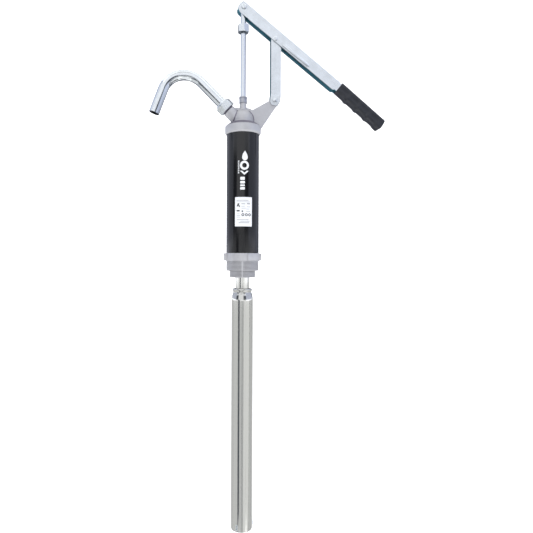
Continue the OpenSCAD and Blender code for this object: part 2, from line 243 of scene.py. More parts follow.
def plate(outline, thick, soft=()):
    """A plate in the lever's plane: an outline of (x, z) corners given a thickness along Y."""
    bm = bmesh.new()
    outline_face(bm, outline, soft)
    bmesh.ops.translate(bm, verts=bm.verts[:], vec=(0, -thick / 2, 0))
    grown = bmesh.ops.extrude_face_region(bm, geom=bm.faces[:], use_keep_orig=True)
    push(bm, grown["geom"], (0, thick, 0))
    bmesh.ops.recalc_face_normals(bm, faces=bm.faces[:])
    return bm


def soften(bm, width, segments=3, angle=25, where=None):
    """Rounds the edges that are sharper than angle degrees, or those of them that where picks."""
    sharp = [e for e in bm.edges if e.is_manifold and e.calc_face_angle(0) > math.radians(angle)]
    if where:
        sharp = [e for e in sharp if where((e.verts[0].co + e.verts[1].co) / 2, e)]
    bmesh.ops.bevel(
        bm, geom=sharp, offset=width, offset_type="OFFSET", segments=segments, profile=0.5,
        affect="EDGES", clamp_overlap=True, material=-1,
    )
    return bm


def bar(radius, start, end, steps=48, edge=0.0):
    """A round bar between two points, its rims rounded by edge."""
    start, end = Vector(start), Vector(end)
    length = (end - start).length
    outline = [(0, 0), (radius, 0), (radius, length), (0, length)]
    bm = revolve(outline, [((1, 2), edge)] if edge else (), steps)
    aim = (end - start).to_track_quat("Z", "Y").to_matrix().to_4x4()
    bm.transform(Matrix.Translation(start) @ aim)
    return bm


def cross_bar(point, radius, low, high, steps=48, edge=0.0):
    """A round bar along Y through a point of the lever's plane."""
    return bar(radius, (point[0], low, point[2]), (point[0], high, point[2]), steps, edge)


def block(low, high, edge=0.0):
    """A box between two corners, with its edges rounded."""
    low, high = Vector(low), Vector(high)
    bm = bmesh.new()
    place = Matrix.Translation((low + high) / 2) @ Matrix.Diagonal((*(high - low), 1))
    bmesh.ops.create_cube(bm, size=1, matrix=place)
    if edge:
        soften(bm, edge)
    return bm


def domed(place, radius, seat, tall, side):
    """A domed rivet head that stands on a flat face across Y, on the low side for -1."""
    head = revolve([(0, 0), (radius, 0), (radius, tall * 0.35), (radius * 0.72, tall * 0.8), (0, tall)],
                   [((2, 3), tall * 0.3)], 48)
    head.transform(Matrix.Translation((place[0], seat, place[2])) @ Matrix.Rotation(math.radians(-90 * side), 4, "X"))
    return head


def hexagon(outline, corner_r, turn=0.0):
    """A hexagon whose corners are turned off to an outline of (radius, height)."""
    low, high = min(z for r, z in outline), max(z for r, z in outline)
    bm = bmesh.new()
    bmesh.ops.create_cone(
        bm, cap_ends=True, segments=6, radius1=corner_r, radius2=corner_r, depth=high - low + 2,
        matrix=Matrix.Rotation(turn, 4, "Z") @ Matrix.Translation((0, 0, (low + high) / 2)),
    )
    soften(bm, 0.35, 2, where=lambda m, e: run(e, "z") > 1)
    return boolean(bm, revolve(outline, steps=72), "INTERSECT")


def evaluated(thing, *helpers):
    """The mesh of an object with its modifiers applied. The object and its helpers are removed."""
    shape = thing.evaluated_get(bpy.context.evaluated_depsgraph_get())
    bm = bmesh.new()
    bm.from_mesh(shape.to_mesh())
    shape.to_mesh_clear()
    for other in (thing, *helpers):
        mesh = other.data
        bpy.data.objects.remove(other)
        bpy.data.meshes.remove(mesh)
    return bm


def boolean(bm, tool, operation="DIFFERENCE"):
    """One closed shape cut by another, joined to it or kept where both are. Both are used up."""
    body, cutter = new_object("temporary", bm), new_object("temporary", tool)
    modifier = body.modifiers.new("cut", "BOOLEAN")
    modifier.operation = operation
    modifier.solver = "EXACT"
    modifier.object = cutter
    return evaluated(body, cutter)


def cast_together(parts, voxel, rounds):
    """Joins closed shapes into one skin with cast fillets where they meet."""
    thing = new_object("temporary", joined(parts))
    remesh = thing.modifiers.new("skin", "REMESH")
    remesh.mode = "VOXEL"
    remesh.voxel_size = voxel
    smooth = thing.modifiers.new("fillet", "SMOOTH")
    smooth.factor = 0.5
    smooth.iterations = rounds
    return evaluated(thing)


def joined(parts):
    """One bmesh that holds several. The parts are freed."""
    whole = bmesh.new()
    for part in parts:
        mesh = bpy.data.meshes.new("part")
        part.to_mesh(mesh)
        part.free()
        whole.from_mesh(mesh)
        bpy.data.meshes.remove(mesh)
    return whole


def onto_branch(bm):
    """Moves a shape made along Z onto the spout branch's axis."""
    lean = Vector((0, 0, 1)).rotation_difference(BRANCH_AXIS).to_matrix().to_4x4()
    bm.transform(Matrix.Translation(BRANCH_FOOT) @ lean)
    return bm


def onto_lever(bm):
    """Moves a shape made with X along the lever from its pin, and Z square to it, onto the lever."""
    slope = bpy.context.scene.drum_pump_sizes.lever_slope
    bm.transform(Matrix.Translation(PIN_A) @ Matrix.Rotation(slope, 4, "Y"))
    return bm


def paint(bm, index, test):
    """Gives a material number to the faces whose middle and normal pass a test."""
    bm.normal_update()
    for face in bm.faces:
        if test(face.calc_center_median(), face.normal):
            face.material_index = index


def finish_piece(name, bm, body, materials, replaces=(), sharp=32):
    """Turns a bmesh in millimetres into a finished piece that rides on a body."""
    bmesh.ops.scale(bm, verts=bm.verts[:], vec=(MM, MM, MM))
    piece = new_object(name, bm)
    piece.data.shade_smooth()
    piece.data.set_sharp_from_angle(angle=math.radians(sharp))
    for material in materials:
        piece.data.materials.append(material)
    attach(piece, body)
    if replaces:
        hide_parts(*replaces)
    return piece


def dress(nodes, material):
    """Gives carried-over frame nodes a finish in place of their plain one."""
    for node in nodes:
        for slot in frame["nodes"][node].material_slots:
            slot.material = material


# ---------------------------------------------------------------- materials


def add_node(tree, kind, inputs=None, **settings):
    """Adds a node with its settings. An input given as a socket is linked, any other is set."""
    node = tree.nodes.new(kind)
    for name, value in settings.items():
        setattr(node, name, value)
    for name, value in (inputs or {}).items():
        if isinstance(value, bpy.types.NodeSocket):
            tree.links.new(value, node.inputs[name])
        else:
            node.inputs[name].default_value = value
    return node


def per_mm(size):
    """Pattern scale on Object coordinates for a feature of that size in millimetres."""
    return 1 / (size * MM)


def start_material(name, **values):
    """An empty material with its shader, and the Object coordinates its patterns read."""
    material = bpy.data.materials.get(name)
    if material:
        bpy.data.materials.remove(material)
    material = bpy.data.materials.new(name)
    material.use_nodes = True
    tree = material.node_tree
    tree.nodes.clear()
    shader = add_node(tree, "ShaderNodeBsdfPrincipled", {k.replace("_", " "): v for k, v in values.items()})
    output = add_node(tree, "ShaderNodeOutputMaterial", {"Surface": shader.outputs["BSDF"]})
    output.location = (300, 0)
    place = add_node(tree, "ShaderNodeTexCoord").outputs["Object"]
    return material, tree, shader, place


def mottle(colour, share):
    """A slightly darker shade of a colour."""
    return [c * (1 - share) for c in colour[:3]] + [1.0]


def weather(tree, shader, colours, sheen, rough, relief=None, strength=0.0, depth=0.0):
    """Varies a shader by patterns. Returns its bump node, if it has one.

    colours is (pattern, colour at 0, colour at 1), or a ready colour socket. The sheen pattern moves
    the roughness between the two values of rough, and the relief is depth millimetres deep.
    """
    if isinstance(colours, tuple):
        factor, first, last = colours
        colours = add_node(tree, "ShaderNodeMix", {0: factor, 6: first, 7: last}, data_type="RGBA").outputs[2]
    tree.links.new(colours, shader.inputs["Base Color"])
    spread = add_node(tree, "ShaderNodeMapRange", {"Value": sheen, "To Min": rough[0], "To Max": rough[1]})
    tree.links.new(spread.outputs["Result"], shader.inputs["Roughness"])
    if relief is None:
        return None
    bump = add_node(tree, "ShaderNodeBump", {"Height": relief, "Strength": strength, "Distance": depth * MM})
    tree.links.new(bump.outputs["Normal"], shader.inputs["Normal"])
    return bump


def die_cast(name, colour):
    """Die-cast alloy, as cast and tumbled: a satin skin with fine pits and cloudy flow marks."""
    material, tree, shader, place = start_material(name, Metallic=0.62)
    # Flow marks are about 9 mm wide; the tumbled grain is drawn at 0.9 mm so that it shows
    flow = add_node(tree, "ShaderNodeTexNoise", {"Vector": place, "Scale": per_mm(9), "Detail": 4.0})
    grain = add_node(tree, "ShaderNodeTexNoise", {"Vector": place, "Scale": per_mm(0.9), "Detail": 3.0})
    tone = add_node(tree, "ShaderNodeMix", {0: flow.outputs["Fac"], 6: mottle(colour, 0.18), 7: colour}, data_type="RGBA")
    pits = add_node(tree, "ShaderNodeMapRange", {
        "Value": grain.outputs["Fac"], "From Min": 0.62, "From Max": 0.74, "To Min": 0.0, "To Max": 0.22,
    })
    bump = weather(
        tree, shader, (pits.outputs["Result"], tone.outputs[2], mottle(colour, 0.5)), grain.outputs["Fac"], (0.42, 0.6),
        grain.outputs["Fac"], 0.35, 0.12,
    )
    wave = add_node(tree, "ShaderNodeBump", {"Height": flow.outputs["Fac"], "Strength": 0.25, "Distance": 0.8 * MM})
    tree.links.new(wave.outputs["Normal"], bump.inputs["Normal"])
    return material


def zinc_plate(name, rough):
    """Bright blue zinc plate on cold-rolled steel: a clear sheen with a faint rolled waviness."""
    material, tree, shader, place = start_material(name, Metallic=1.0)
    # Passivation clouds are about 22 mm across, and the rolled skin's waves about 3 mm
    cloud = add_node(tree, "ShaderNodeTexNoise", {"Vector": place, "Scale": per_mm(22), "Detail": 3.0})
    skin = add_node(tree, "ShaderNodeTexNoise", {"Vector": place, "Scale": per_mm(3), "Detail": 2.0}).outputs["Fac"]
    tone = add_node(tree, "ShaderNodeValToRGB", {"Fac": cloud.outputs["Fac"]})
    ramp = tone.color_ramp.elements
    ramp[0].position, ramp[0].color = 0.32, mottle(colour("zinc"), 0.11)
    ramp[1].position, ramp[1].color = 0.66, colour("zinc")
    weather(tree, shader, tone.outputs["Color"], skin, (rough - 0.05, rough + 0.09), skin, 0.12, 0.25)
    return material


def channel_inside_shade(name):
    """Painted shade inside a pressed channel: the blue zinc made darker and duller than outside."""
    material, tree, shader, place = start_material(name, Metallic=0.3)
    cloud = add_node(tree, "ShaderNodeTexNoise", {"Vector": place, "Scale": per_mm(12), "Detail": 4.0}).outputs["Fac"]
    shade_tone = colour("zinc_inside_shade")
    weather(tree, shader, (cloud, mottle(shade_tone, 0.45), shade_tone), cloud, (0.35, 0.6))
    return material


def drawn_tube(name, rough):
    """Polished and chromed drawn tube: bright, with faint draw lines along its length."""
    material, tree, shader, place = start_material(name, Metallic=1.0)
    # Draw lines are 1.2 mm apart round the tube and run 160 mm along it
    stretched = add_node(tree, "ShaderNodeMapping", {
        "Vector": place, "Scale": (per_mm(1.2), per_mm(1.2), per_mm(160)),
    })
    lines = add_node(tree, "ShaderNodeTexNoise", {"Vector": stretched.outputs["Vector"], "Scale": 1.0, "Detail": 3.0})
    haze = add_node(tree, "ShaderNodeTexNoise", {"Vector": place, "Scale": per_mm(30), "Detail": 2.0})
    lines = lines.outputs["Fac"]
    weather(
        tree, shader, (lines, mottle(colour("tube"), 0.14), colour("tube")), haze.outputs["Fac"],
        (rough - 0.04, rough + 0.07), lines, 0.08, 0.1,
    )
    return material


def ground_rod(name):
    """Hard chrome, centreless ground: very fine rings round the rod."""
    material, tree, shader, place = start_material(name, Metallic=1.0)
    # Grinding rings are drawn 0.8 mm apart, coarser than real ones, so that they show
    stretched = add_node(tree, "ShaderNodeMapping", {
        "Vector": place, "Scale": (per_mm(60), per_mm(60), per_mm(0.8)),
    })
    rings = add_node(tree, "ShaderNodeTexNoise", {"Vector": stretched.outputs["Vector"], "Scale": 1.0, "Detail": 2.0})
    rings = rings.outputs["Fac"]
    weather(tree, shader, (rings, mottle(colour("rod"), 0.1), colour("rod")), rings, (0.12, 0.24))
    return material


def turned_metal(name, colour, pitch):
    """Machined metal: tool rings round Z and a satin sheen."""
    material, tree, shader, place = start_material(name, Metallic=1.0)
    rings = add_node(tree, "ShaderNodeTexWave", {
        "Vector": place, "Scale": per_mm(pitch) / 3.14, "Distortion": 0.6, "Detail": 1.0,
    }, wave_type="BANDS", bands_direction="Z")
    # The sheen clouds over about 7 mm
    cloud = add_node(tree, "ShaderNodeTexNoise", {"Vector": place, "Scale": per_mm(7), "Detail": 3.0}).outputs["Fac"]
    weather(tree, shader, (cloud, mottle(colour, 0.25), colour), cloud, (0.25, 0.42), rings.outputs["Fac"], 0.3, 0.08)
    return material


def stoved_enamel(name):
    """Black stoving enamel, sprayed on tube: a soft gloss with faint orange peel and dust."""
    material, tree, shader, place = start_material(name, Metallic=0.0, Coat_Weight=0.12, Coat_Roughness=0.08)
    # Orange peel cells are about 1.8 mm across, and dust specks lie about 4 mm apart
    peel = add_node(tree, "ShaderNodeTexNoise", {"Vector": place, "Scale": per_mm(1.8), "Detail": 1.0})
    cloud = add_node(tree, "ShaderNodeTexNoise", {"Vector": place, "Scale": per_mm(25), "Detail": 5.0}).outputs["Fac"]
    dust = add_node(tree, "ShaderNodeTexVoronoi", {"Vector": place, "Scale": per_mm(4)})
    speck = add_node(tree, "ShaderNodeMapRange", {
        "Value": dust.outputs["Distance"], "From Min": 0.09, "From Max": 0.04, "To Min": 0.0, "To Max": 0.25,
    })
    black = colour("enamel")
    lifted = [min(1, c + 0.035) for c in black[:3]] + [1.0]
    tone = add_node(tree, "ShaderNodeMix", {0: cloud, 6: black, 7: mottle(black, 0.35)}, data_type="RGBA")
    weather(
        tree, shader, (speck.outputs["Result"], tone.outputs[2], lifted), cloud, (0.13, 0.22),
        peel.outputs["Fac"], 0.1, 0.1,
    )
    return material


def soft_moulding(name, colour, rough, grain_mm, strength):
    """A dipped or moulded soft skin: matt, with a fine leathery grain that scatters the light."""
    material, tree, shader, place = start_material(name, Metallic=0.0)
    grain = add_node(tree, "ShaderNodeTexVoronoi", {"Vector": place, "Scale": per_mm(grain_mm)})
    # Wear clouds are about 14 mm across
    cloud = add_node(tree, "ShaderNodeTexNoise", {"Vector": place, "Scale": per_mm(14), "Detail": 4.0}).outputs["Fac"]
    weather(
        tree, shader, (cloud, mottle(colour, 0.3), colour), cloud, (rough - 0.08, rough + 0.1),
        grain.outputs["Distance"], strength, 0.15,
    )
    return material


def printed_skin(name, colour, rough):
    """Screen ink or label film: flat and even, with small wear about 2 mm across."""
    material, tree, shader, place = start_material(name, Metallic=0.0)
    wear = add_node(tree, "ShaderNodeTexNoise", {"Vector": place, "Scale": per_mm(2.2), "Detail": 4.0}).outputs["Fac"]
    weather(tree, shader, (wear, mottle(colour, 0.12), colour), wear, (rough - 0.06, rough + 0.08))
    return material


# ---------------------------------------------------------------- head


class DRUMPUMP_OT_head_casting(bpy.types.Operator):
    """Models the die-cast head with its dome, neck, spout branch and link arm"""

    bl_idname = "drumpump.head_casting"
    bl_label = "Head casting"

    def execute(self, context):
        foot, rim = HEAD_LOW.z, HEAD_HIGH.y
        dome = foot + 27
        gland = GLAND_LOW.z
        arc = [math.radians(a) for a in range(6, 78, 9)]
        bell = [(2 + 17 * math.cos(a), dome + 20.5 * math.sin(a)) for a in arc]
        body = revolve(
            [(0, foot), (rim - 2.4, foot), (rim, foot + 3.2), (rim, foot + 15.4), (rim - 9.6, foot + 22.2),
             (rim - 13.2, foot + 22.8), (18.7, foot + 24.2), (18.8, foot + 27)]
            + bell + [(6.9, dome + 20.6), (6.5, dome + 25), (6.2, gland), (0, gland)],
            [((3,), 1.6)],
        )
        arm = plate(
            [(9, foot + 17), (rim - 2, foot + 4), (rim - 0.3, foot + 4), (rim + 0.4, foot + 12),
             (PIN_C.x + 0.3, PIN_C.z - 14.8), (PIN_C.x + 7.6, PIN_C.z - 5), (PIN_C.x, PIN_C.z + 2),
             (PIN_C.x - 7.2, PIN_C.z + 1.6), (12.5, foot + 44.6), (9, foot + 38)], 7.6,
        )
        # The arm's outer edge is drafted wide, as the die leaves it
        soften(arm, 2.4, 2, where=lambda m, e: run(e, "y") < 1
               and m.x > 33 and m.z < foot + 12 + (m.x - 33) * 1.55 + 1.5)
        lug = cross_bar(PIN_C, 8.5, -3.8, 3.8, edge=0.8)
        ribs = [
            plate([(5, dome + 12), (22, dome + 12), (17.5, dome + 20.6), (12, dome + 23.4), (5, dome + 24)], 5),
            plate([(-5, dome + 12), (-17, dome + 12), (-19, dome + 18), (-14, dome + 23), (-5, dome + 24)], 5),
        ]
        branch = onto_branch(revolve(
            [(0, 10), (11.65, 10), (11.65, 36.9), (10.2, 37.1), (10.2, 39.7), (11, 39.9), (11, 46), (0, 46)]
        ))
        head = cast_together([body, arm, lug, *ribs, branch], size("cast_voxel"), 2)
        # Flash line of the die, left standing down the front of the collar
        seam = plate(
            [(rim - 1, foot + 3.6), (rim + 0.45, foot + 3.6), (rim + 0.45, foot + 15.2), (rim - 9.4, foot + 22.4),
             (rim - 10.6, foot + 21.4), (rim - 1, foot + 15)], 1.0,
        )
        rotate(seam, math.radians(-96), "Z")
        head = boolean(head, seam, "UNION")
        hollow = revolve(
            [(0, foot - 1), (BARREL_R + 0.6, foot - 1), (BARREL_R + 0.6, foot + 0.2), (BARREL_R + 0.05, foot + 1.2),
             (BARREL_R + 0.05, foot + 12.5), (26, foot + 12.5), (26, foot + 17), (17.5, foot + 21)]
            + [(r - 3, z - 1) for r, z in bell[:-2]]
            + [(ROD_R + 0.3, dome + 17.3), (ROD_R + 0.3, gland + 8), (0, gland + 8)],
        )
        port = onto_branch(bar(7.9, (0, 0, 14), (0, 0, 60)))
        head = boolean(boolean(head, hollow), port)
        head = boolean(head, cross_bar(PIN_C, 3.25, -8, 8))
        neck = revolve([(ROD_R + 0.3, gland - 1), (6, gland - 1), (6, gland + 6.2), (ROD_R + 0.3, gland + 6.2)])
        head = joined([head, neck])

        def in_shaded_undercut(middle, normal):
            """The groove between the branch and the union nut's thread, coloured darker as painted shade."""
            along = (middle - BRANCH_FOOT).dot(BRANCH_AXIS)
            return 36.8 < along < 40.2 and (middle - BRANCH_FOOT - along * BRANCH_AXIS).length < 11.3

        def in_painted_crease_shade(middle, normal):
            """The shoulder, and the line where the branch and the arm run into the dome: faces that get painted shade.
            """
            radius, above = math.hypot(middle.x, middle.y), middle.z - dome
            if -11.4 < above < -3.6 and 18.8 < radius < rim - 0.5 and normal.z > 0.4:
                return True
            edge = 2 + 17 * math.sqrt(1 - min(1, max(0, above / 20.5)) ** 2)
            return -4 < above < 19 and 0.4 < radius - edge < 2.0 and abs(middle.y) < 13

        # The shoulder and the creases round the dome get a darker copy of the casting as painted shade
        paint(head, 2, in_painted_crease_shade)
        # The undercut is a real groove, and its darker colour is painted shade
        paint(head, 1, in_shaded_undercut)
        finish_piece(
            "head_casting_skin", head, "head",
            [die_cast("cast alloy", colour("cast")), turned_metal("thread undercut", linear("#7C7986"), 0.8),
             die_cast("cast alloy, untumbled creases", colour("cast_crease_shade"))],
            ["head_casting"], sharp=48,
        )
        return {"FINISHED"}


class DRUMPUMP_OT_barrel(bpy.types.Operator):
    """Models the enamelled barrel, its printed marks and its label"""

    bl_idname = "drumpump.barrel"
    bl_label = "Barrel and print"

    def execute(self, context):
        inner = BARREL_R - 1.5
        tube = revolve(
            [(inner, BARREL_LOW.z), (BARREL_R, BARREL_LOW.z), (BARREL_R, BARREL_HIGH.z), (inner, BARREL_HIGH.z)],
            [((1, 2), 0.35)], steps=192,
        )
        finish_piece(
            "barrel_skin", tube, "head",
            [stoved_enamel("stoved enamel")], ["barrel_tube"],
        )
        self.marks()
        self.label()
        return {"FINISHED"}

    def wrapped(self, shapes, radius, thick, facing):
        """Lays flat outlines of (sideways, height) round the barrel, centred at an angle."""
        bm = joined(shapes)
        low = min(v.co.x for v in bm.verts)
        high = max(v.co.x for v in bm.verts)
        for n in range(int(high - low) + 1):
            slice_faces(bm, (low + n + 0.5, 0, 0), (1, 0, 0))
        for v in bm.verts:
            angle = facing + v.co.x / radius
            r = radius - v.co.y
            v.co = Vector((r * math.cos(angle), r * math.sin(angle), v.co.z))
        bmesh.ops.recalc_face_normals(bm, faces=bm.faces[:])
        return bm

    def marks(self):
        """Plain pictograms in white ink: a drop, a ring, a chevron, and a row of pads"""
        thick = 0.04
        low, high = 154.5, 198.5
        drop = plate(
            [(-1.6, high - 17.5), (7.6, high - 17.5), (8.6, high - 9), (3, high), (-2.6, high - 9)], thick,
            [((0, 1), 4.4), ((2, 4), 5.0)],
        )
        ring = bar(8.2, (2.2, thick / 2, low + 17.5), (2.2, -thick / 2, low + 17.5), 40)
        hole = bar(4.3, (2.2, 1, low + 17.5), (2.2, -1, low + 17.5), 40)
        ring = boolean(ring, hole)
        chevron = plate([(-6, low + 7.5), (2.2, low + 0.2), (10, low + 7.5), (6.6, low + 7.9), (2.2, low + 4.2),
                         (-2.4, low + 7.9)], thick)
        ticks = [plate([(-9.6, low + 3 + 3.5 * n), (-7.2, low + 3 + 3.5 * n), (-7.2, low + 4.9 + 3.5 * n),
                        (-9.6, low + 4.9 + 3.5 * n)], thick) for n in range(7)]
        pads = [plate([(-5.4, z), (3.0, z), (3.0, z + h), (-5.4, z + h)], thick, [((0, 1, 2, 3), 1.2)])
                for z, h in ((128.2, 4.6), (134.4, 3.0), (139.2, 4.6), (145.6, 5.6))]
        ink = self.wrapped([drop, ring, chevron] + ticks + pads, BARREL_R + 0.03, thick, math.radians(-97))
        finish_piece(
            "barrel_marks", ink, "head", [printed_skin("screen ink", colour("ink"), 0.45)],
        )

    def label(self):
        low, high = LABEL_LOW.z, LABEL_HIGH.z
        film = plate([(-15.9, low), (15.9, low), (15.9, high), (-15.9, high)], 0.14, [((0, 1, 2, 3), 1.0)])
        facing = math.radians(-95.4)
        sheet = self.wrapped([film], BARREL_R + 0.16, 0.1, facing)
        finish_piece(
            "barrel_label_film", sheet, "head",
            [printed_skin("label film", colour("film"), 0.38)], ["barrel_label"],
        )
        # Plain bars, frames and discs stand for the label's print
        shapes = []
        for z, left, right, tall in (
            (high - 6.4, -13, 9, 1.1), (high - 9, -13, 12, 0.8), (high - 13, -4, 3, 1.6), (high - 17, -4, 2, 1.0),
            (high - 20.5, -4, 4, 1.0), (high - 13, 6, 12, 2.4), (high - 18, 6, 12, 1.0), (high - 22, 5, 11, 1.0),
            (high - 26, 4, 12.5, 1.0), (low + 11.4, -12.5, 9.5, 1.2), (low + 8.6, -6, 11.5, 1.0),
            (low + 6, -9, 10.5, 1.3), (low + 19, -12.8, -6, 0.9), (low + 22, -12.8, -7, 0.9),
            (low + 16.2, -12.8, -6, 0.9),
        ):
            shapes.append(plate([(left, z), (right, z), (right, z + tall), (left, z + tall)], 0.04))
        print_grey = self.wrapped(shapes, BARREL_R + 0.26, 0.04, facing)
        finish_piece(
            "barrel_label_lines", print_grey, "head",
            [printed_skin("label ink, grey", linear("#A9ABB0"), 0.5)],
        )
        icons = [
            plate([(-12.8, high - 16.8), (-9.4, high - 16.8), (-7.4, high - 11.2), (-10.8, high - 11.2)], 0.04),
            plate([(-8.6, high - 18), (-6.4, high - 18), (-6.4, high - 15), (-8.6, high - 15)], 0.04, [((0, 2), 0.8)]),
            plate([(-12.6, high - 26), (-7, high - 26), (-7, high - 23.4), (-12.6, high - 23.4)], 0.04, [((0, 1), 1.0)]),
            plate([(-3.4, high - 27), (-0.8, high - 27), (-0.8, high - 24.2), (-3.4, high - 24.2)], 0.04, [((0, 2), 0.7)]),
        ]
        for x in (-1.2, 5.2, 11.2):
            disc = bar(2.6, (x, 0.02, low + 21), (x, -0.02, low + 21), 28)
            icons.append(boolean(disc, bar(1.2, (x, 1, low + 21), (x, -1, low + 21), 20)))
        dark = self.wrapped(icons, BARREL_R + 0.26, 0.04, facing)
        finish_piece(
            "barrel_label_icons", dark, "head",
            [printed_skin("label ink, dark", colour("label_ink"), 0.5)],
        )


class DRUMPUMP_OT_bung_adapter(bpy.types.Operator):
    """Models the die-cast bung adapter with its wrench lugs and two pipe threads"""

    bl_idname = "drumpump.bung_adapter"
    bl_label = "Bung adapter"

    def execute(self, context):
        big, small = 30.2, 24.2
        deep = size("thread_depth")
        step = size("thread_pitch")
        middle, end = -18.2, ADAPTER_LOW.z
        body = revolve(
            [(UPPER_R + 0.05, end), (small - deep - 0.8, end), (small - deep, end + 0.8), (small - deep, middle),
             (big - deep - 1, middle), (big - deep, middle + 1), (big - deep, 0), (30.7, 0), (30.7, RING_H),
             (BARREL_R + 0.05, RING_H), (BARREL_R + 0.05, RING_H - 1.5), (28.45, RING_H - 1.5), (28.45, RING_H + 12),
             (24, RING_H + 12), (24, 5), (21.5, 5), (21.5, -4), (10, -4), (10, -10), (UPPER_R + 0.05, -10)],
            [((7, 8), 0.6)],
        )
        core = [(0, -5), (26, -5), (26, 30), (0, 30)]
        for turn in (0, 180):
            lug = block((20, -7, 0.2), (34.6, 7, RING_H - 0.2), 1.0)
            rotate(lug, math.radians(turn), "Z")
            lug = boolean(lug, revolve(core, steps=64))
            body = boolean(body, lug, "UNION")
        for turn in (-61, 119):
            pad = block((22, -11, 0.3), (31.6, 11, RING_H - 0.3), 0.8)
            pad = boolean(pad, revolve(core, steps=64))
            rotate(pad, math.radians(turn), "Z")
            body = boolean(body, pad, "UNION")
        threads = [self.thread(big, deep, step, middle, -0.02), self.thread(small, deep, step, end, middle - 0.02)]
        body = joined([body, *threads])
        # The thread roots get a darker copy of the casting as painted shade
        paint(body, 1, lambda m, n: m.z < -0.1
              and 20 < math.hypot(m.x, m.y) < (big if m.z > middle else small) - 0.45 * deep)
        finish_piece(
            "bung_adapter_skin", body, "head",
            [die_cast("cast alloy, adapter", colour("cast")),
             die_cast("cast alloy, thread roots", mottle(colour("cast"), 0.3))],
            ["bung_adapter"], sharp=30,
        )
        return {"FINISHED"}

    def thread(self, radius, deep, step, low, high):
        """A sleeve with a helical thread outside, and a smooth land where the die's halves meet."""
        columns, rows = 160, int((high - low) / step + 2) * 12
        bm = bmesh.new()
        bmesh.ops.create_grid(bm, x_segments=columns, y_segments=rows, size=1)
        for v in bm.verts:
            column, row = round((v.co.x + 1) / 2 * columns), round((v.co.y + 1) / 2 * rows)
            angle = TURN * column / columns
            phase = (row - 2) / 12
            z = low - step + step * (phase + column / columns)
            ridge = abs(phase % 1 - 0.5) * 2
            r = radius - deep * min(1, max(0, (ridge - 0.42) / 0.42))
            if abs((angle - math.radians(261) + math.pi) % TURN - math.pi) * radius < 1.7:
                r = radius - 0.12
            r = min(r, radius - 1.1 + max(0, z - low), radius - 0.7 + max(0, high - z))
            if row in (0, 1, rows - 1, rows):
                r = radius - deep - 1.2
                z = high if row == rows - 1 else low
            v.co = Vector((r * math.cos(angle), r * math.sin(angle), min(high, max(low, z))))
        bmesh.ops.remove_doubles(bm, verts=bm.verts[:], dist=1e-4)
        bmesh.ops.dissolve_degenerate(bm, edges=bm.edges[:], dist=1e-4)
        bmesh.ops.recalc_face_normals(bm, faces=bm.faces[:])
        return bm


class DRUMPUMP_OT_gland(bpy.types.Operator):
    """Models the turned gland nut round the rod"""

    bl_idname = "drumpump.gland"
    bl_label = "Gland nut"

    def execute(self, context):
        low, high = GLAND_LOW.z, GLAND_HIGH.z
        nut = revolve(
            [(6.05, low), (6.9, low), (7.3, low + 0.5), (7.3, high - 3.4), (7.0, high - 3.1), (7.0, high - 2.7),
             (7.55, high - 2.3), (7.55, high - 0.7), (6.9, high), (ROD_R + 0.2, high), (ROD_R + 0.2, low + 9.2),
             (6.05, low + 9.2)],
            [((7, 8), 0.25)],
        )
        # Two spanner flats
        for side in (-1, 1):
            near, far = sorted((6.7 * side, 9 * side))
            nut = boolean(nut, block((near, -9, low + 1.6), (far, 9, high - 3.6)))
        finish_piece(
            "gland_nut_skin", nut, "head",
            [turned_metal("turned aluminium", linear("#BDBFC6"), 0.9)], ["gland_nut"],
        )
        return {"FINISHED"}


class DRUMPUMP_OT_spout(bpy.types.Operator):
    """Models the union nut and the bent spout tube"""

    bl_idname = "drumpump.spout"
    bl_label = "Spout and union nut"

    def execute(self, context):
        low, high = 39.7, 56.4
        nut = hexagon(
            [(0, low), (16.4, low), (16.4, high - 4.4), (14.0, high - 2.8), (13.1, high - 2.6), (11.6, high), (0, high)],
            16.4, math.radians(30),
        )
        nut = boolean(nut, revolve([
            (0, low - 1), (12.8, low - 1), (12.6, low + 0.6), (11.1, low + 2.2), (11.1, high - 4.6),
            (9.6, high - 4.4), (9.6, high + 1), (0, high + 1),
        ]))
        finish_piece(
            "spout_nut_skin", onto_branch(nut), "head",
            [zinc_plate("zinc plate, nuts", 0.24)], ["spout_nut"],
        )
        start, bend, turn, end = 47.25, 108.0, math.radians(113.913), 46.5
        outer, radius = 9.5, 42.4
        bm = bmesh.new()
        for r in (outer, outer - 1.5):
            bmesh.ops.create_circle(
                bm, cap_ends=False, radius=r, segments=72, matrix=Matrix.Translation((0, 0, start)),
            )
        bmesh.ops.bridge_loops(bm, edges=bm.edges[:])
        front = bmesh.ops.extrude_face_region(bm, geom=bm.faces[:])["geom"]
        push(bm, front, (0, 0, bend - start))
        front = bmesh.ops.spin(
            bm, geom=front, cent=(-radius, 0, bend), axis=(0, -1, 0), angle=turn, steps=72,
        )["geom_last"]
        front = bmesh.ops.extrude_face_region(bm, geom=front)["geom"]
        away = Vector((-math.sin(turn), 0, math.cos(turn)))
        push(bm, front, away * end)
        bmesh.ops.bridge_loops(bm, edges=[e for e in bm.edges if e.is_boundary])
        bmesh.ops.recalc_face_normals(bm, faces=bm.faces[:])
        flange = revolve([(8.2, start), (10.75, start), (10.75, start + 2), (8.2, start + 2)])
        bm = joined([bm, flange])
        finish_piece(
            "spout_tube_skin", onto_branch(bm), "spout",
            [zinc_plate("zinc plate, spout", 0.1)], ["spout_tube"],
        )
        return {"FINISHED"}


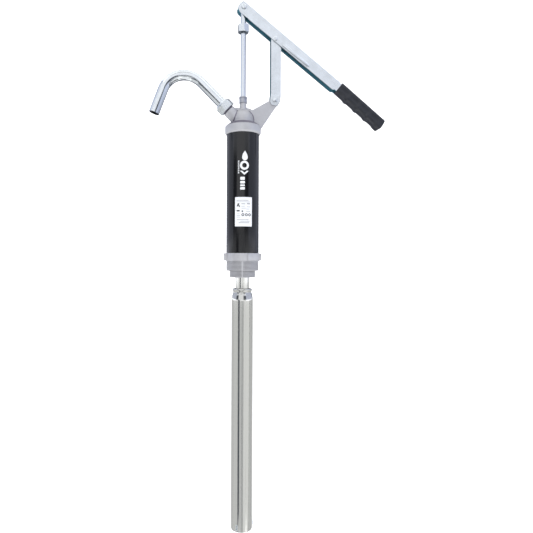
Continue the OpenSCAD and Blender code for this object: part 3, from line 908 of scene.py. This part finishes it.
class DRUMPUMP_OT_rod(bpy.types.Operator):
    """Models the ground rod, the hexagon rod end and its eye"""

    bl_idname = "drumpump.rod"
    bl_label = "Rod and rod end"

    def execute(self, context):
        shaft = revolve([(0, ROD_LOW.z), (ROD_R, ROD_LOW.z), (ROD_R, ROD_HIGH.z), (0, ROD_HIGH.z)], [((1, 2), 0.5)], 96)
        finish_piece(
            "piston_rod_skin", shaft, "rod", [ground_rod("hard chrome")], ["piston_rod"],
        )
        low, high = NUT_LOW.z, NUT_HIGH.z
        nut = hexagon([(0, low), (9.7, low), (11, low + 1.3), (11, high - 1.2), (9.8, high), (0, high)], 11)
        nut = boolean(nut, revolve([
            (0, low - 1), (7.9, low - 1), (7.4, low + 0.6), (7.0, low + 3), (ROD_R + 0.05, low + 3),
            (ROD_R + 0.05, high + 1), (0, high + 1),
        ]))
        finish_piece(
            "rod_end_nut_skin", nut, "rod", [zinc_plate("zinc plate, rod end", 0.2)],
            ["rod_end_nut"],
        )
        eye_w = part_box("rod_end_eye")[1][1] / MM
        stud = bar(ROD_R - 0.1, (0, 0, high - 6.0), (0, 0, PIN_A.z - 3), edge=0.5)
        eye = boolean(stud, cross_bar(PIN_A, 6, -eye_w, eye_w, edge=0.5), "UNION")
        eye = boolean(eye, cross_bar(PIN_A, 3.55, -10, 10))
        finish_piece(
            "rod_end_eye_skin", eye, "rod", [zinc_plate("zinc plate, eye", 0.2)],
            ["rod_end_eye"],
        )
        return {"FINISHED"}


class DRUMPUMP_OT_lever(bpy.types.Operator):
    """Models the pressed lever channel with its stiffening bead, and its pins"""

    bl_idname = "drumpump.lever"
    bl_label = "Lever channel and pins"

    def execute(self, context):
        top, low, long, half, sheet = LEVER_TOP, -12.5, LEVER_LONG, 8.0, 2.0
        bend = size("channel_bend")
        bead = size("bead_height")

        outer = plate(
            [(-7.2, top), (-10.4, -1), (-8, -8.6), (-1.5, low), (long, low), (long, top)],
            2 * half, [((0,), 2.5), ((1,), 6), ((2,), 3), ((3,), 3), ((4,), 5)],
        )
        soften(outer, bend, 5, where=lambda m, e: m.z > 3 and run(e, "y") < 1 and m.x > -9)
        tongue = block((long - 8, -half, top - 18), (long + 104, half, top), 0)
        soften(tongue, bend, 5, where=lambda m, e: m.z > top - 1 and run(e, "x") > 50)
        rotate(tongue, TANG_SLOPE, "Y", (long, 0, top))
        outer = boolean(outer, tongue, "UNION")
        raised = plate([(97, -10.8), (161, -10.8), (161, -4.2), (97, -4.2)], 2 * (half + bead), [((0, 1, 2, 3), 3.2)])
        soften(raised, 1.3, 3)
        outer = boolean(outer, raised, "UNION")
        space = plate(
            [(-30, low - 3), (long - 2, low - 3), (long - 2, top - sheet), (-30, top - sheet)], 2 * (half - sheet),
        )
        soften(space, 1.0, 3, where=lambda m, e: m.z > top - sheet - 0.1 and run(e, "x") > 50)
        under = block((long - 12, sheet - half, top - 22), (long + 110, half - sheet, top - sheet))
        rotate(under, TANG_SLOPE, "Y", (long, 0, top))
        pressed = plate(
            [(99, -9.2), (159, -9.2), (159, -5.8), (99, -5.8)], 2 * (half - sheet + bead), [((0, 1, 2, 3), 1.6)],
        )
        channel = boolean(boolean(boolean(outer, space), under), pressed)

        def is_shaded_inside(middle, normal):
            """Inside faces of the channel that get painted shade, but not those of the rear flange behind the bead."""
            across, inner = abs(middle.y), half - sheet
            between = across < inner + 0.05
            return (
                across < inner + bead + 0.05 and (across < half - 1.2 or abs(normal.y) < 0.5)
                and (normal.z < -0.5 or between or abs(normal.y) > 0.5)
                and low + 0.2 < middle.z < top - sheet + 0.1
                and not (middle.y > inner + 0.05 and 96 < middle.x < 162)
            )

        # The inside faces get a darker, duller copy of the zinc as painted shade
        paint(channel, 1, is_shaded_inside)
        channel = onto_lever(channel)
        link_top = PIN_C + Vector((0, 0, LINK_LENGTH))
        for place, radius in ((PIN_A, 3.55), (link_top, 3.55)):
            channel = boolean(channel, cross_bar(place, radius, -12, 12))
        finish_piece(
            "lever_channel_skin", channel, "lever",
            [zinc_plate("zinc plate, lever", 0.2), channel_inside_shade("lever inside")],
            ["lever_channel"], sharp=28,
        )
        plated = zinc_plate("zinc plate, pins", 0.22)
        shank = cross_bar(PIN_A, 3.5, -half - 1, half + 5.5, edge=0.5)
        head = domed(PIN_A, 5.2, -half, 2.3, -1)
        pin = boolean(shank, head, "UNION")
        hole = bar(1.15, (-10, half + 2.9, PIN_A.z), (10, half + 2.9, PIN_A.z), 24)
        finish_piece("lever_pin_skin", boolean(pin, hole), "lever", [plated], ["lever_pin"])
        washer = cross_bar(PIN_A, 6.5, half, half + 1.2, edge=0.25)
        washer = boolean(washer, cross_bar(PIN_A, 3.55, half - 1, half + 4))
        finish_piece("lever_pin_washer_skin", washer, "lever", [plated], ["lever_pin_washer"])
        self.cotter(half + 2.9, plated)
        rivet = joined([
            cross_bar(link_top, 3.5, -half - 0.4, half + 0.4), domed(link_top, 4.5, -half, 0.9, -1),
            domed(link_top, 4.5, half, 0.9, 1),
        ])
        finish_piece("link_rivet_skin", rivet, "lever", [plated], ["link_rivet"])
        return {"FINISHED"}

    def cotter(self, across, plated):
        """Two half-round legs folded from one wire, with a round eye"""
        wire = 0.684
        upright = Matrix.Rotation(math.radians(90), 4, "X")
        legs = []
        for side, reach in ((1, 12.0), (-1, 10.6)):
            high = PIN_A.z + side * 0.34
            legs.append(bar(wire, (9.0, across, high), (-4.4, across, high), 16))
            legs.append(bar(wire, (-4.0, across, high), (-reach, across, PIN_A.z + side * 2.2), 16, 0.2))
        eye = bmesh.new()
        bmesh.ops.create_circle(
            eye, cap_ends=False, radius=0.85, segments=16, matrix=Matrix.Translation((1.9, 0, 0)) @ upright,
        )
        bmesh.ops.spin(
            eye, geom=eye.verts[:] + eye.edges[:], cent=(0, 0, 0), axis=(0, 0, 1), angle=TURN, steps=32,
            use_merge=True,
        )
        bmesh.ops.recalc_face_normals(eye, faces=eye.faces[:])
        eye.transform(Matrix.Translation((10.4, across, PIN_A.z)) @ upright)
        cotter = joined(legs + [eye])
        rotate(cotter, math.radians(-28), "Y", PIN_A)
        finish_piece("cotter_pin_skin", cotter, "lever", [plated], ["cotter_pin"])


class DRUMPUMP_OT_grip(bpy.types.Operator):
    """Models the soft dipped grip with its finger grooves"""

    bl_idname = "drumpump.grip"
    bl_label = "Hand grip"

    def execute(self, context):
        long, wide, crown = 108.5, 22.0, 2.8
        bump, step = size("bump_height"), size("bump_pitch")
        floor = crown - 23.6 + bump
        bm = block((0, -wide / 2, floor), (long, wide / 2, crown))
        soften(bm, 6.2, 8, where=lambda m, e: run(e, "x") > 50)
        soften(bm, 2.2, 4, where=lambda m, e: run(e, "x") < 1 and m.x > long - 1)
        soften(bm, 0.45, 2, where=lambda m, e: run(e, "x") < 1 and m.x < 1)
        for across, count, low, high in (((1, 0, 0), 120, 0, long), ((0, 0, 1), 14, floor, crown)):
            for n in range(1, count):
                slice_faces(bm, Vector(across) * (low + (high - low) * n / count), across)
        for v in bm.verts:
            # Bumps between the fingers, and a heel that keeps the hand on
            swell = sum(math.exp(-(((v.co.x - 26.2 - n * step) / 3.7) ** 2)) for n in range(3))
            heel = min(1, max(0, (v.co.x - 91) / 9))
            swell = max(swell, heel * heel * (3 - 2 * heel))
            depth = min(1, max(0, (-5 - v.co.z) / 11))
            v.co.z -= bump * swell * depth * depth
            v.co.y *= 1 - 0.07 * (1 - swell) * math.sin(math.pi * min(1, max(0, (-3 - v.co.z) / 17)))
            # The end face leans, and its lower corner is rounded more
            end = max(0, (v.co.x - long + 30) / 30)
            v.co.x += end * (1 + 0.12 * (crown - v.co.z) - 4.6 * max(0, (-12 - v.co.z) / 9) ** 2.2 * end ** 6)
        bore = block((-2, -8.05, -18.05), (98.6, 8.05, 0.05))
        bmesh.ops.recalc_face_normals(bm, faces=bm.faces[:])
        bm = boolean(bm, bore)
        bm.transform(Matrix.Rotation(TANG_SLOPE, 4, "Y") @ Matrix.Translation((4.5, 0, 0)))
        push(bm, bm.verts[:], (LEVER_LONG, 0, LEVER_TOP))
        finish_piece(
            "lever_grip_skin", onto_lever(bm), "lever",
            [soft_moulding("dipped vinyl", colour("vinyl"), 0.34, 0.9, 0.3)], ["lever_grip"], sharp=50,
        )
        return {"FINISHED"}


class DRUMPUMP_OT_link(bpy.types.Operator):
    """Models the pressed link channel and the pin at its foot"""

    bl_idname = "drumpump.link"
    bl_label = "Link and pin"

    def execute(self, context):
        half = 5.7
        sheet = 1.6
        left, right = PIN_C.x - 7.6, PIN_C.x + 11.2
        foot, top = PIN_C.z, PIN_C.z + LINK_LENGTH
        outer = plate(
            [(PIN_C.x - 10.2, foot - 9.2), (PIN_C.x + 9.2, foot - 9.2), (right, foot + 9), (right, top), (left, top),
             (left, foot + 13)],
            2 * half, [((0, 1), 8.4), ((2, 5), 1.5)],
        )
        crown = cross_bar((PIN_C.x, 0, top), 7.6, -half, half)
        outer = boolean(outer, crown, "UNION")
        soften(outer, 2.4, 5, where=lambda m, e: m.x > right - 0.1 and m.z > foot + 12
               and run(e, "z") > 50)
        space = block((left - 20, sheet - half, foot - 20), (right - sheet, half - sheet, top + 20))
        soften(space, 0.8, 3, where=lambda m, e: m.x > right - sheet - 0.1 and run(e, "z") > 50)
        link = boolean(outer, space)
        link = boolean(link, block((PIN_C.x, sheet - half, foot - 20), (right + 9, half - sheet, foot + 21)))
        link = boolean(link, cross_bar((PIN_C.x, 0, top), 3.9, -10, 10))
        link = boolean(link, block((PIN_C.x, -10, top - 6.8), (PIN_C.x + 20, 10, top + 9)))
        link = boolean(link, cross_bar(PIN_C, 3.25, -10, 10))
        # The ears are set outwards a little, with a crease where they leave the channel
        for z in (foot + 10.2, foot + 11.4):
            slice_faces(link, (0, 0, z), (0, 0, 1))
        for v in link.verts:
            if v.co.z < foot + 10.3:
                v.co.y += 0.35 * math.copysign(1, v.co.y)
        # Inside faces of the link's channel and the ears' inner faces get the painted shade
        paint(link, 1, lambda m, n: abs(m.y) < half - sheet + 0.02 and abs(n.z) < 0.9 and m.x < right - sheet + 0.02
              or (abs(m.y) < half - sheet + 0.4 and m.z < foot + 11.5 and abs(n.y) > 0.8 and n.y * m.y < 0))
        finish_piece(
            "link_channel_skin", link, "link",
            [zinc_plate("zinc plate, link", 0.22), channel_inside_shade("link inside")],
            ["link_channel"], sharp=28,
        )
        pin = joined([
            cross_bar(PIN_C, 3.2, -half - 1.2, half + 1.2),
            domed(PIN_C, 4.6, -half - 0.4, 2.2, -1),
            domed(PIN_C, 4.6, half + 0.4, 1.4, 1),
        ])
        finish_piece(
            "link_pin_skin", pin, "head", [zinc_plate("zinc plate, link pin", 0.2)],
            ["link_pin"],
        )
        return {"FINISHED"}


class DRUMPUMP_OT_suction_tubes(bpy.types.Operator):
    """Models the two polished suction tubes and the rivets at the foot"""

    bl_idname = "drumpump.suction_tubes"
    bl_label = "Suction tubes"

    def execute(self, context):
        wall = 0.8
        upper = revolve(
            [(UPPER_R - wall, UPPER_LOW.z), (UPPER_R, UPPER_LOW.z), (UPPER_R, UPPER_HIGH.z),
             (UPPER_R - wall, UPPER_HIGH.z)],
            [((0, 1), 0.2)], 128,
        )
        finish_piece(
            "upper_suction_tube_skin", upper, "head",
            [drawn_tube("chromed tube, upper", 0.12)], ["upper_suction_tube"],
        )
        lip, foot = LOWER_HIGH.z, LOWER_LOW.z
        lower = revolve(
            [(LOWER_R - wall, foot), (LOWER_R, foot), (LOWER_R, lip - 20), (LOWER_R - 1.0, lip - 13.5), (17.0, lip - 8),
             (16.9, lip - 5.8), (18.5, lip - 2.6), (17.4, lip - 0.4), (14.8, lip), (14.8, lip - wall),
             (17.0, lip - wall - 0.5),
             (17.5, lip - 2.8), (16.0, lip - 5.8), (16.1, lip - 8.2), (LOWER_R - 1.8, lip - 13.7), (LOWER_R - wall, lip - 20)],
            [((0, 1), 0.25), ((2, 3), 2.5), ((4, 5), 1.1), ((6, 7), 1.2), ((10, 11), 0.8), ((14, 15), 2.5)], 160,
        )
        # Four staking dimples hold the seal in the neck
        for turn in (-104, -14, 76, 166):
            dimple = bmesh.new()
            bmesh.ops.create_uvsphere(dimple, u_segments=24, v_segments=16, radius=1)
            dimple.transform(
                Matrix.Rotation(math.radians(turn), 4, "Z") @ Matrix.Translation((18.3, 0, lip - 8.6))
                @ Matrix.Diagonal((1.8, 2.6, 1.7, 1))
            )
            lower = boolean(lower, dimple)
        for rivet in self.rivet_places():
            out = Vector((rivet.x, rivet.y, 0)) / 2
            lower = boolean(lower, bar(1.7, rivet - out, rivet + out, 24))
        finish_piece(
            "lower_suction_tube_skin", lower, "lower_tube",
            [drawn_tube("chromed tube, lower", 0.12)], ["lower_suction_tube"],
        )
        rivets = []
        for place in self.rivet_places():
            head = revolve(
                [(1.1, -6), (1.6, -6), (1.6, 0), (2.58, 0), (2.58, 0.6), (2.1, 1.3), (1.5, 1.3), (1.1, 0.7)],
                [((4, 5, 6), 0.25)], 32,
            )
            out = Vector((place.x, place.y, 0)).normalized()
            head.transform(Matrix.Translation(place) @ out.to_track_quat("Z", "Y").to_matrix().to_4x4())
            rivets.append(head)
        finish_piece(
            "strainer_rivets_skin", joined(rivets), "lower_tube",
            [zinc_plate("zinc plate, rivets", 0.22)], ["strainer_rivets"],
        )
        return {"FINISHED"}

    def rivet_places(self):
        """Where the hollow rivets sit on the tube, two above each other in three places"""
        foot = LOWER_LOW.z
        seat = LOWER_R + 0.05
        return [
            Vector((seat * math.cos(math.radians(a)), seat * math.sin(math.radians(a)), foot + z))
            for a in (-124, -4, 116) for z in (5.7, 10.9)
        ]


class DRUMPUMP_OT_inner_parts(bpy.types.Operator):
    """Finishes the seals, valves and piston parts that the frame already shapes"""

    bl_idname = "drumpump.inner_parts"
    bl_label = "Inner parts"

    def execute(self, context):
        dress(["head_gasket", "adapter_gasket", "rod_packing", "spout_washer", "tube_seal"],
              soft_moulding("nitrile rubber", colour("rubber"), 0.6, 0.6, 0.2))
        dress(["tube_guide_ring"], soft_moulding("moulded acetal", linear("#E3E0D6"), 0.4, 0.8, 0.1))
        dress(["foot_strainer"], soft_moulding("moulded nylon", linear("#2C2E2C"), 0.48, 0.8, 0.15))
        dress(["foot_valve_cage", "piston_body"], turned_metal("turned brass", linear("#C4A052"), 0.5))
        dress(["foot_valve_disc", "valve_stop_ring", "cup_retainer", "piston_nut", "piston_valve_disc"],
              turned_metal("turned steel", linear("#9A9DA3"), 0.6))
        dress(["piston_cup"], soft_moulding("oiled leather", linear("#4A3222"), 0.5, 0.7, 0.5))
        return {"FINISHED"}


# ---------------------------------------------------------------- stage


class DRUMPUMP_OT_stage(bpy.types.Operator):
    """Sets the pale floor, the soft studio light and the camera"""

    bl_idname = "drumpump.stage"
    bl_label = "Stage"

    def execute(self, context):
        scene = context.scene
        scene.view_settings.view_transform = "Standard"
        self.floor(scene)
        self.surroundings(scene)
        # Soft boxes in a ring: turn from the camera to the right in degrees, distance, width, low and
        # high edge in metres, radiance and colour. The gaps between them draw the dark lines in the chrome.
        self.softbox("front", -14.5, 1.25, 1.30, 0.0, 1.5, 1.05, "#FAFAFC")
        self.softbox("high right", 30, 1.25, 0.78, 0.56, 1.7, 0.95, "#F3F5FB")
        self.softbox("high left", -57, 1.25, 0.70, 0.56, 1.7, 0.9, "#F3F5FB")
        self.softbox("right", 87, 1.2, 2.48, -0.1, 1.6, 0.88, "#D4DAF0")
        self.softbox("left", -110, 1.2, 2.1, -0.1, 1.6, 0.8, "#DADFF0")
        self.softbox("back", 172, 1.3, 1.3, -0.1, 1.6, 0.3, "#E2E5F0")
        for turn, width in ((-5, 0.77), (60, 1.6), (-90, 1.9)):
            self.softbox("skirt", turn, 0.95, width, -0.11, -0.01, 0.8, "#F1F2F6")
        for turn, width, radiance in (
            (-15.5, 0.25, 0.75), (5, 0.17, 0.58), (48, 0.83, 1.03), (99.5, 0.34, 0.72), (139, 0.47, 0.8),
            (-73, 0.68, 0.81), (-131, 0.68, 0.72),
        ):
            self.softbox("low", turn, 0.62, width, -1.15, -0.05, radiance, "#F1F1EF")
        self.flat_light("above", (0, 0, 1.75), (2.6, 2.6), 1.15, "#FFFFFF", down=True)
        self.flat_light("below", (0, 0, -1.2), (1.5, 1.5), 0.95, "#FFFFFF", down=False)
        self.camera(scene)
        return {"FINISHED"}

    def floor(self, scene):
        bm = bmesh.new()
        corners = [bm.verts.new(c) for c in ((-5, -4, -0.9), (-5, 3.2, -0.9), (-5, 3.2, 4))]
        bm.edges.new(corners[:2])
        bm.edges.new(corners[1:])
        bmesh.ops.bevel(
            bm, geom=[corners[1]], offset=1.4, offset_type="OFFSET", segments=16, profile=0.5, affect="VERTICES",
            clamp_overlap=False, material=-1,
        )
        wide = bmesh.ops.extrude_edge_only(bm, edges=bm.edges[:])
        push(bm, wide["geom"], (10, 0, 0))
        bmesh.ops.recalc_face_normals(bm, faces=bm.faces[:])
        sweep = new_object("studio_sweep", bm)
        sweep.data.shade_smooth()
        pale = colour("floor")
        # Painted board, seamless: even and matt, so bright that it burns out to white
        material, tree, shader, place = start_material("painted board", Roughness=0.9, Emission_Strength=0.98)
        shader.inputs["Emission Color"].default_value = pale
        soft = add_node(tree, "ShaderNodeTexNoise", {"Vector": place, "Scale": 1.5, "Detail": 1.0})
        tone = add_node(tree, "ShaderNodeMix", {0: soft.outputs["Fac"], 6: mottle(pale, 0.02), 7: pale}, data_type="RGBA")
        tree.links.new(tone.outputs[2], shader.inputs["Base Color"])
        sweep.data.materials.append(material)
        sweep.visible_glossy = False

    def surroundings(self, scene):
        world = bpy.data.worlds.new("studio")
        scene.world = world
        world.use_nodes = True
        tree = world.node_tree
        tree.nodes.clear()
        seen = add_node(tree, "ShaderNodeLightPath").outputs["Is Camera Ray"]
        dim = add_node(tree, "ShaderNodeBackground", {"Color": linear("#5A5E66"), "Strength": 1.1})
        pale = add_node(tree, "ShaderNodeBackground", {"Color": (1, 1, 1, 1), "Strength": 1.0})
        mixed = add_node(tree, "ShaderNodeMixShader", {0: seen, 1: dim.outputs[0], 2: pale.outputs[0]})
        add_node(tree, "ShaderNodeOutputWorld", {"Surface": mixed.outputs[0]})

    def area(self, name, matrix, width, height, radiance, code):
        light = bpy.data.lights.new(name, "AREA")
        light.shape = "RECTANGLE"
        light.size, light.size_y = width, height
        light.color = linear(code)[:3]
        light.energy = radiance * math.pi * width * height
        lamp = bpy.data.objects.new(name, light)
        lamp.matrix_world = matrix
        lamp.visible_camera = False
        bpy.context.scene.collection.objects.link(lamp)

    def softbox(self, name, turn, away, width, low, high, radiance, code):
        """An upright soft box round the pump, turned from the camera's side to the right."""
        angle = math.radians(-98.5 + turn)
        place = Vector((away * math.cos(angle), away * math.sin(angle), (low + high) / 2))
        facing = Vector((place.x, place.y, 0)).to_track_quat("Z", "Y").to_matrix().to_4x4()
        self.area("softbox " + name, Matrix.Translation(place) @ facing, width, high - low, radiance, code)

    def flat_light(self, name, place, extent, radiance, code, down):
        turn = Matrix.Identity(4) if down else Matrix.Rotation(math.pi, 4, "X")
        self.area("light " + name, Matrix.Translation(place) @ turn, *extent, radiance, code)

    def camera(self, scene):
        lens = bpy.data.cameras.new("camera")
        lens.sensor_width = 36
        lens.lens = 33.1
        lens.shift_x, lens.shift_y = 0.0451, -0.016
        camera = bpy.data.objects.new("camera", lens)
        place = Vector((-0.1347, -0.901, 0.0052))
        look = (Vector((0, 0, place.z)) - place).to_track_quat("-Z", "Y").to_matrix().to_4x4()
        camera.matrix_world = Matrix.Translation(place) @ look @ Matrix.Rotation(math.radians(0.23), 4, "Z")
        scene.collection.objects.link(camera)
        scene.camera = camera


class DRUMPUMP_PT_panel(bpy.types.Panel):
    """Lists the steps that build the pump"""

    bl_idname = "DRUMPUMP_PT_panel"
    bl_label = "Drum pump"
    bl_space_type = "VIEW_3D"
    bl_region_type = "UI"
    bl_category = "Drum pump"

    def draw(self, context):
        layout = self.layout
        for group in (context.scene.drum_pump_sizes, context.scene.drum_pump_colours):
            column = layout.column()
            for name in group.__annotations__:
                column.prop(group, name)
        for step in STEPS_IN_ORDER:
            layout.operator(step.bl_idname)


STEPS_IN_ORDER = (
    DRUMPUMP_OT_stage, DRUMPUMP_OT_head_casting, DRUMPUMP_OT_barrel, DRUMPUMP_OT_bung_adapter, DRUMPUMP_OT_gland,
    DRUMPUMP_OT_spout, DRUMPUMP_OT_rod, DRUMPUMP_OT_lever, DRUMPUMP_OT_grip, DRUMPUMP_OT_link,
    DRUMPUMP_OT_suction_tubes, DRUMPUMP_OT_inner_parts,
)
CLASSES = (DrumPumpSizes, DrumPumpColours, *STEPS_IN_ORDER, DRUMPUMP_PT_panel)


def register():
    for cls in CLASSES:
        bpy.utils.register_class(cls)
    bpy.types.Scene.drum_pump_sizes = bpy.props.PointerProperty(type=DrumPumpSizes)
    bpy.types.Scene.drum_pump_colours = bpy.props.PointerProperty(type=DrumPumpColours)


def unregister():
    del bpy.types.Scene.drum_pump_colours
    del bpy.types.Scene.drum_pump_sizes
    for cls in reversed(CLASSES):
        bpy.utils.unregister_class(cls)


def main():
    register()
    for step in STEPS_IN_ORDER:
        group, name = step.bl_idname.split(".")
        getattr(getattr(bpy.ops, group), name)()


if __name__ == "__main__":
    main()
